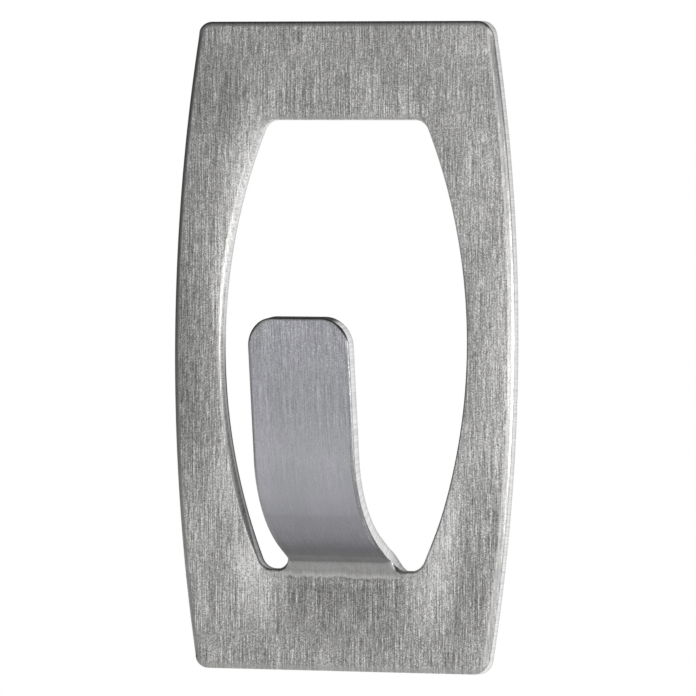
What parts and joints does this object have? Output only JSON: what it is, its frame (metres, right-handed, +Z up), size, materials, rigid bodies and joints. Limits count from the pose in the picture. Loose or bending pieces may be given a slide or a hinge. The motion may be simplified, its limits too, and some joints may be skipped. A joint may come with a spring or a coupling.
{
  "type": "adhesive wall hook",
  "caption": "Flat adhesive wall hook: a bowed steel plate with a window, and a tongue bent up out of it as the hook, on a foam tape pad.",
  "frame": {"origin": "in the plane of the wall, at the middle of the plate's height and width", "axes": "+Z up, +X to the right seen from the front, -Y out of the wall towards the viewer"},
  "size_m": [0.044, 0.0142, 0.075],
  "materials": {
    "steel": "brushed along the plate's height",
    "foam": "closed-cell foam, cut edges",
    "liner": "siliconed glassine"
  },
  "bodies": {
    "hook": {"hook_plate": "steel", "foam_pad": "foam"},
    "upper_liner": {"upper_liner": "liner"},
    "lower_liner": {"lower_liner": "liner"}
  },
  "joints": [
    {"name": "upper_liner_peel", "type": "slide", "parent": "hook", "child": "upper_liner", "axis": [0, 1, 0], "range_m": [0, 0.015]},
    {"name": "lower_liner_peel", "type": "slide", "parent": "hook", "child": "lower_liner", "axis": [0, 1, 0], "range_m": [0, 0.015]}
  ]
}
